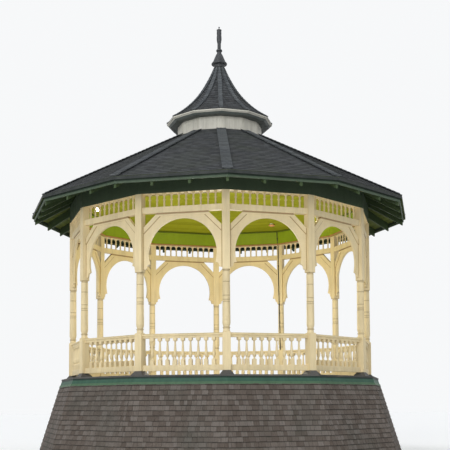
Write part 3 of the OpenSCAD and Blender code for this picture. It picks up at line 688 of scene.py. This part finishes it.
# The lamp pipe: thin steel pipe that serves a bowl lamp, painted dark. It runs
# from the pedestal of the sixth post up its inner face, through the ledge and
# up the corner of the cove, and goes in above the ceiling beside the lamp.
def run_pipe(
    name, route, turn, radius, sides=10, length=0.9, collar=0.04, end=0.0005, pace=0.01, mean_of=7,
):
    """A round pipe along a route of (distance out, sideways, height) points,
    on the line from the middle in the direction turn. The route is cut into
    steps of one pace, and its bends are rounded by a mean of so many steps. A
    ring of points stands square to it at each step: centre + radius * (cos *
    side + sin * (along x side)), a third wider in the collars where two lengths
    are joined. Each tip narrows to the radius end, closed by a fan of quads."""
    route, run = measure(route)[:2]
    along = np.linspace(0.0, run[-1], int(run[-1] / pace))
    line = np.stack([np.interp(along, run, route[:, k]) for k in range(3)], -1)
    line = np.pad(line, ((mean_of // 2, mean_of // 2), (0, 0)), mode="edge")
    share = np.ones(mean_of) / mean_of
    line = np.stack([np.convolve(line[:, k], share, "valid") for k in range(3)], -1)
    out = np.array([math.cos(turn), math.sin(turn), 0.0])
    sideways = np.array([-math.sin(turn), math.cos(turn), 0.0])
    up = np.array([0.0, 0.0, 1.0])
    centre = line[:, :1] * out + line[:, 1:2] * sideways + line[:, 2:] * up
    ahead = np.gradient(centre, axis=0)
    ahead = ahead / np.linalg.norm(ahead, axis=1, keepdims=True)
    side = sideways - (ahead @ sideways)[:, None] * ahead
    side = side / np.linalg.norm(side, axis=1, keepdims=True)
    third = np.cross(ahead, side)
    joined = np.abs((along + length / 2) % length - length / 2) < collar / 2
    wide = radius * np.where(joined, 4 / 3, 1.0)
    wide[[0, -1]] = end
    swing = np.linspace(0, 2 * math.pi, sides, endpoint=False)[None, :, None]
    spread = np.cos(swing) * side[:, None] + np.sin(swing) * third[:, None]
    rings = centre[:, None] + wide[:, None, None] * spread
    step, spoke = np.meshgrid(np.arange(len(along) - 1), np.arange(sides), indexing="ij")
    here, next_ring = step * sides, (step + 1) * sides
    beside = (spoke + 1) % sides
    quads = np.stack([here + spoke, here + beside, next_ring + beside, next_ring + spoke], -1)
    fan = np.array([[0, spoke, spoke + 1, spoke + 2] for spoke in range(1, sides - 1, 2)])
    last_ring = (len(along) - 1) * sides
    quads = np.concatenate([quads.reshape(-1, 4), fan[:, ::-1], fan + last_ring])
    girth = np.arange(sides) * radius * 2 * math.pi / sides
    flat_map = np.stack([girth + 0 * along[:, None], along[:, None] + 0 * girth], -1)
    tone = np.full(len(quads), 0.5)
    return make_piece(name, rings.reshape(-1, 3), quads, flat_map.reshape(-1, 2), tone)


def weathered_metal(name, colour, pale):
    """Dark painted metal: cloudy dull patches and fine runs down from joints."""
    finish, tree, shader = new_finish(name)
    here = place_on(tree)
    cloud = noise(tree, here, 14.0, 6.0)
    runs = noise(tree, stretch(tree, here, (60, 60, 4)), 1.0, 4.0)
    shade = ramp(tree, cloud, [(0.35, colour), (0.7, pale)])
    shade = blend(tree, fade(tree, runs, 0.5, 0.75, 0.0, 0.5), shade, pale)
    put_on(tree, shader, shade, cloud, 0.15, 0.002)
    shader.inputs["Metallic"].default_value = 0.35
    dull = fade(tree, cloud, 0.3, 0.7, 0.38, 0.62)
    tree.links.new(dull, shader.inputs["Roughness"])
    return finish


lamp_pipe = run_pipe("lamp_pipe", [
    (4.030, -0.010, 3.262), (4.030, -0.010, 3.285), (3.9905, -0.010, 3.345), (3.9905, 0.0, 4.00),
    (3.9905, 0.010, 4.55), (3.9920, 0.022, 5.10), (3.9940, 0.034, 5.60), (3.9955, 0.038, 6.60),
    (3.9320, 0.030, 6.665), (3.8560, 0.012, 7.080),
], turn=math.radians(60), radius=0.0135)
lamp_pipe.data.materials.append(weathered_metal(
    "dark painted pipe", colour=(0.020, 0.022, 0.017), pale=(0.050, 0.052, 0.042),
))


# The rafters: a hip rafter over each post and two jack rafters in each bay,
# with shaped tails that show under the eave. The board along their ends is
# dark above and lighter green in a strip along its lower edge.
rafter_paint = painted_timber(
    "green rafter paint", colour=(0.055, 0.085, 0.036), grime=(0.03, 0.042, 0.02),
    bare=(0.14, 0.11, 0.08), grime_share=0.3, shine=0.2,
)
paint(rafter_paint, "hip_rafters", "jack_rafters")
EAVE_BOARD_FOOT = 6.66
EAVE_BOARD_HEAD = 6.80
eave_paint = painted_timber(
    "green eave board paint", colour=(0.080, 0.115, 0.075), grime=(0.035, 0.048, 0.035),
    bare=(0.14, 0.12, 0.09), grime_share=0.3, flat_grain=True, shine=0.2,
)
shade_by_height(eave_paint, EAVE_BOARD_FOOT, EAVE_BOARD_HEAD, [
    (EAVE_BOARD_FOOT, CLEAN), (6.725, CLEAN),
    (6.731, (0.36, 0.40, 0.42)), (EAVE_BOARD_HEAD, (0.30, 0.34, 0.36)),
])
paint(eave_paint, "eave_board")


# The main roof: twelve flat sides of tongued boards, green below and cut square
# at the eave. Dark shingles lie on them in courses, and bent caps of the same
# stuff, paler from weather, run up each hip.
ROOF_BOARD_RUN = 0.122
JOINT_SHARE = 0.06
ROOF_CUT = 5.0725


def roof_board_finish():
    """Boards 140 mm wide up the slope, 122 mm on the level, olive green below,
    with a dark line at each joint; the cut edge is darkened as painted shade."""
    finish, tree, shader = new_finish("green roof boards")
    out = side_place(tree)[0]
    boards = reckon(tree, "DIVIDE", out, ROOF_BOARD_RUN)
    joint = reckon(tree, "LESS_THAN", reckon(tree, "FRACT", boards), JOINT_SHARE)
    number = reckon(tree, "FLOOR", boards)
    pick = add(tree, "TexWhiteNoise", {"noise_dimensions": "1D"}, W=number).outputs[0]
    shade = ramp(tree, pick, [(0.0, (0.100, 0.130, 0.034)), (1.0, (0.140, 0.175, 0.050))])
    shade = blend(tree, joint, shade, (0.030, 0.038, 0.012))
    stain = noise(tree, place_on(tree), 5.0, 6.0)
    dark = ramp(tree, stain, [(0.35, (0.020, 0.024, 0.023)), (0.65, (0.038, 0.043, 0.040))])
    # Painted shade: the cut edge beyond ROOF_CUT is darkened.
    shade = blend(tree, reckon(tree, "GREATER_THAN", out, ROOF_CUT), shade, dark)
    put_on(tree, shader, shade, reckon(tree, "MULTIPLY_ADD", joint, -1.0, stain), 0.5, 0.004)
    shader.inputs["Roughness"].default_value = 0.6
    shader.inputs["Specular IOR Level"].default_value = 0.25
    return finish


paint(roof_board_finish(), *["roof_" + quarter for quarter in QUARTERS])
DRUM_A = 1.14
ROOF_COURSE = 0.140
roof_shingles = lay_courses(
    "roof_shingles", [(5.064, 6.8354), (DRUM_A, 9.0093)],
    step=ROOF_COURSE, length=0.165, butt=0.012, tip=0.001,
    gap=0.004, seed=41, width=(0.11, 0.26),
)
dark_shingles = shingle_finish(
    "dark roof shingles",
    [(0.0, (0.040, 0.043, 0.048)), (0.35, (0.058, 0.062, 0.068)), (0.7, (0.080, 0.085, 0.092)),
     (1.0, (0.050, 0.052, 0.054))],
    stain=(0.060, 0.070, 0.052), stain_share=0.5, step=ROOF_COURSE,
)
roof_shingles.data.materials.append(dark_shingles)


def lay_hip_caps(name, profile, step, length, half, thick, butt, seed, tip=0.001, bed=0.006):
    """Bent caps laid up the twelve hips. A cap covers the profile's length
    from j * step to j * step + length, and starts up to a twentieth of a step
    late. Each wing lies in the plane of its own side and goes out from the hip
    by half, square to it, or by 0.7 of the side's half width where that is
    less. The cap's top stands butt + thick over the profile at its low end and
    tip + thick at its high end, and its underside lies bed under the profile,
    within the shingles."""
    draw = np.random.default_rng(seed)
    line, run, slope, middle = measure(profile)
    count = int(run[-1] / step)
    t0 = np.arange(count) * step + draw.uniform(0, 0.05, (SIDES, count)) * step
    t1 = np.minimum(t0 + length, run[-1])
    corner = CORNER_TURNS[:, None]
    lean = [np.interp((t0 + t1) / 2, middle, slope[:, k]) for k in (0, 1)]
    rib = np.stack([
        np.cos(corner) * lean[0] / CORNER_COS, np.sin(corner) * lean[0] / CORNER_COS, lean[1],
    ], -1)
    rib = rib / np.linalg.norm(rib, axis=-1, keepdims=True)
    normals = []
    for hand in (1, -1):
        turn = corner + hand * math.pi / SIDES
        normals.append(np.stack([np.cos(turn) * lean[1], np.sin(turn) * lean[1], -lean[0]], -1))
    over = normals[0] + normals[1]
    over = over / np.linalg.norm(over, axis=-1, keepdims=True)
    wings = [np.cross(normals[0], rib), np.cross(rib, normals[1])]
    rings = []
    for t, lift in ((t0, butt), (t1, tip)):
        a = np.interp(t, run, line[:, 0])
        r = a / CORNER_COS
        z = np.interp(t, run, line[:, 1])
        ridge = np.stack([np.cos(corner) * r, np.sin(corner) * r, z], -1)
        wide = np.minimum(half, a * HALF_SIDE * 0.7)[..., None]
        for base in (-bed, lift + thick):
            rings.append(ridge + wings[1] * wide + normals[1] * base)
            rings.append(ridge + over * base)
            rings.append(ridge + wings[0] * wide + normals[0] * base)
    points = np.stack(rings, 2).reshape(-1, 12, 3)
    across = np.array([-half, 0, half] * 4)
    along = np.repeat([0.0, length], 6)
    flat_map = np.stack([across, along], -1)[None] + np.zeros((len(points), 1, 1))
    faces = [
        [3, 9, 10, 4], [4, 10, 11, 5], [1, 7, 6, 0], [2, 8, 7, 1],
        [0, 6, 9, 3], [5, 11, 8, 2],
        [0, 3, 4, 1], [1, 4, 5, 2], [7, 10, 9, 6], [8, 11, 10, 7],
    ]
    return make_many(name, points, flat_map, faces, draw)


CAP_COURSE = 0.130
pale_caps = shingle_finish(
    "weathered hip caps",
    [(0.0, (0.076, 0.085, 0.094)), (0.5, (0.102, 0.112, 0.122)), (1.0, (0.128, 0.139, 0.147))],
    stain=(0.075, 0.082, 0.068), stain_share=0.4, step=CAP_COURSE,
)
roof_hip_caps = lay_hip_caps(
    "roof_hip_caps", [(5.034, 6.8580), (1.17, 8.9987)],
    step=CAP_COURSE, length=0.205, half=0.125, thick=0.008, butt=0.012, seed=51,
)
roof_hip_caps.data.materials.append(pale_caps)


# The cupola: a twelve-sided drum of upright boards on the rafters' heads, a
# leaning cornice darkened with painted shade but for a light strip along its
# upper edge, and a hollow-sided spire with shingles and caps.
def cupola_paint(name):
    """Light grey-cream paint, more weathered than the trim below."""
    return painted_timber(
        name, colour=(0.62, 0.60, 0.52), grime=(0.30, 0.29, 0.24), bare=(0.30, 0.24, 0.17),
        grime_share=0.45,
    )


pale_paint = cupola_paint("light cupola paint")
paint(pale_paint, "cupola_drum")
DRUM_FOOT = 8.995
DRUM_HEAD = 9.344
DRUM_BOARD_LENGTH = DRUM_HEAD - DRUM_FOOT
DRUM_BOARD_WIDTH = 0.0885
drum_boards = lay_courses(
    "drum_boards", [(DRUM_A, DRUM_FOOT), (DRUM_A, DRUM_HEAD)],
    step=DRUM_BOARD_LENGTH, length=DRUM_BOARD_LENGTH, butt=0.012, tip=0.012,
    gap=0.005, seed=61, width=(DRUM_BOARD_WIDTH, DRUM_BOARD_WIDTH), bonded=False,
)
drum_boards.data.materials.append(pale_paint)

CORNICE_SHADE = (0.16, 0.19, 0.20)
cornice_paint = cupola_paint("cornice paint, dark below")
# Painted shade: the cornice is darkened below its light upper strip.
shade_by_height(cornice_paint, 9.3, 9.5, [
    (9.3, CORNICE_SHADE), (9.398, CORNICE_SHADE), (9.400, CLEAN),
])
paint(cornice_paint, "cupola_cornice")

# The spire's sides are hollow: each is part of a circle, from foot to head.
SPIRE_FOOT = (1.435, 9.4593)
SPIRE_HEAD = (0.135, 11.085)
SPIRE_CENTRE = (3.0219, 12.0607)
SPIRE_R = 3.0472
swing_low = math.atan2(SPIRE_FOOT[1] - SPIRE_CENTRE[1], SPIRE_FOOT[0] - SPIRE_CENTRE[0])
swing_high = math.atan2(SPIRE_HEAD[1] - SPIRE_CENTRE[1], SPIRE_HEAD[0] - SPIRE_CENTRE[0])
sweep = swing_low + (swing_high - swing_low) * np.linspace(0, 1, 25)
spire_line = np.stack([
    SPIRE_CENTRE[0] + SPIRE_R * np.cos(sweep), SPIRE_CENTRE[1] + SPIRE_R * np.sin(sweep),
], -1)
spire_shingles = lay_courses(
    "spire_shingles", spire_line,
    step=0.118, length=0.140, butt=0.012, tip=0.001,
    gap=0.003, seed=71, width=(0.075, 0.15),
)
spire_shingles.data.materials.append(dark_shingles)
spire_hip_caps = lay_hip_caps(
    "spire_hip_caps", spire_line + np.array([0.0, 0.010]),
    step=0.110, length=0.150, half=0.060, thick=0.007, butt=0.010, seed=81,
)
spire_hip_caps.data.materials.append(pale_caps)
spire_edge_paint = cupola_paint("light edge of the spire")
shade_by_height(spire_edge_paint, 9.3, 9.6, [
    (9.3, CLEAN), (9.4575, CLEAN), (9.4585, (0.06, 0.08, 0.07)),
])
paint(spire_edge_paint, "cupola_roof")


# The bell cap and the finial: sheet metal spun over wood, painted dark and
# dulled by weather, with a ringed mast, a ball and a point.
paint(
    weathered_metal("dark cap metal", colour=(0.028, 0.030, 0.034), pale=(0.062, 0.066, 0.070)),
    "bell_cap", "finial",
)
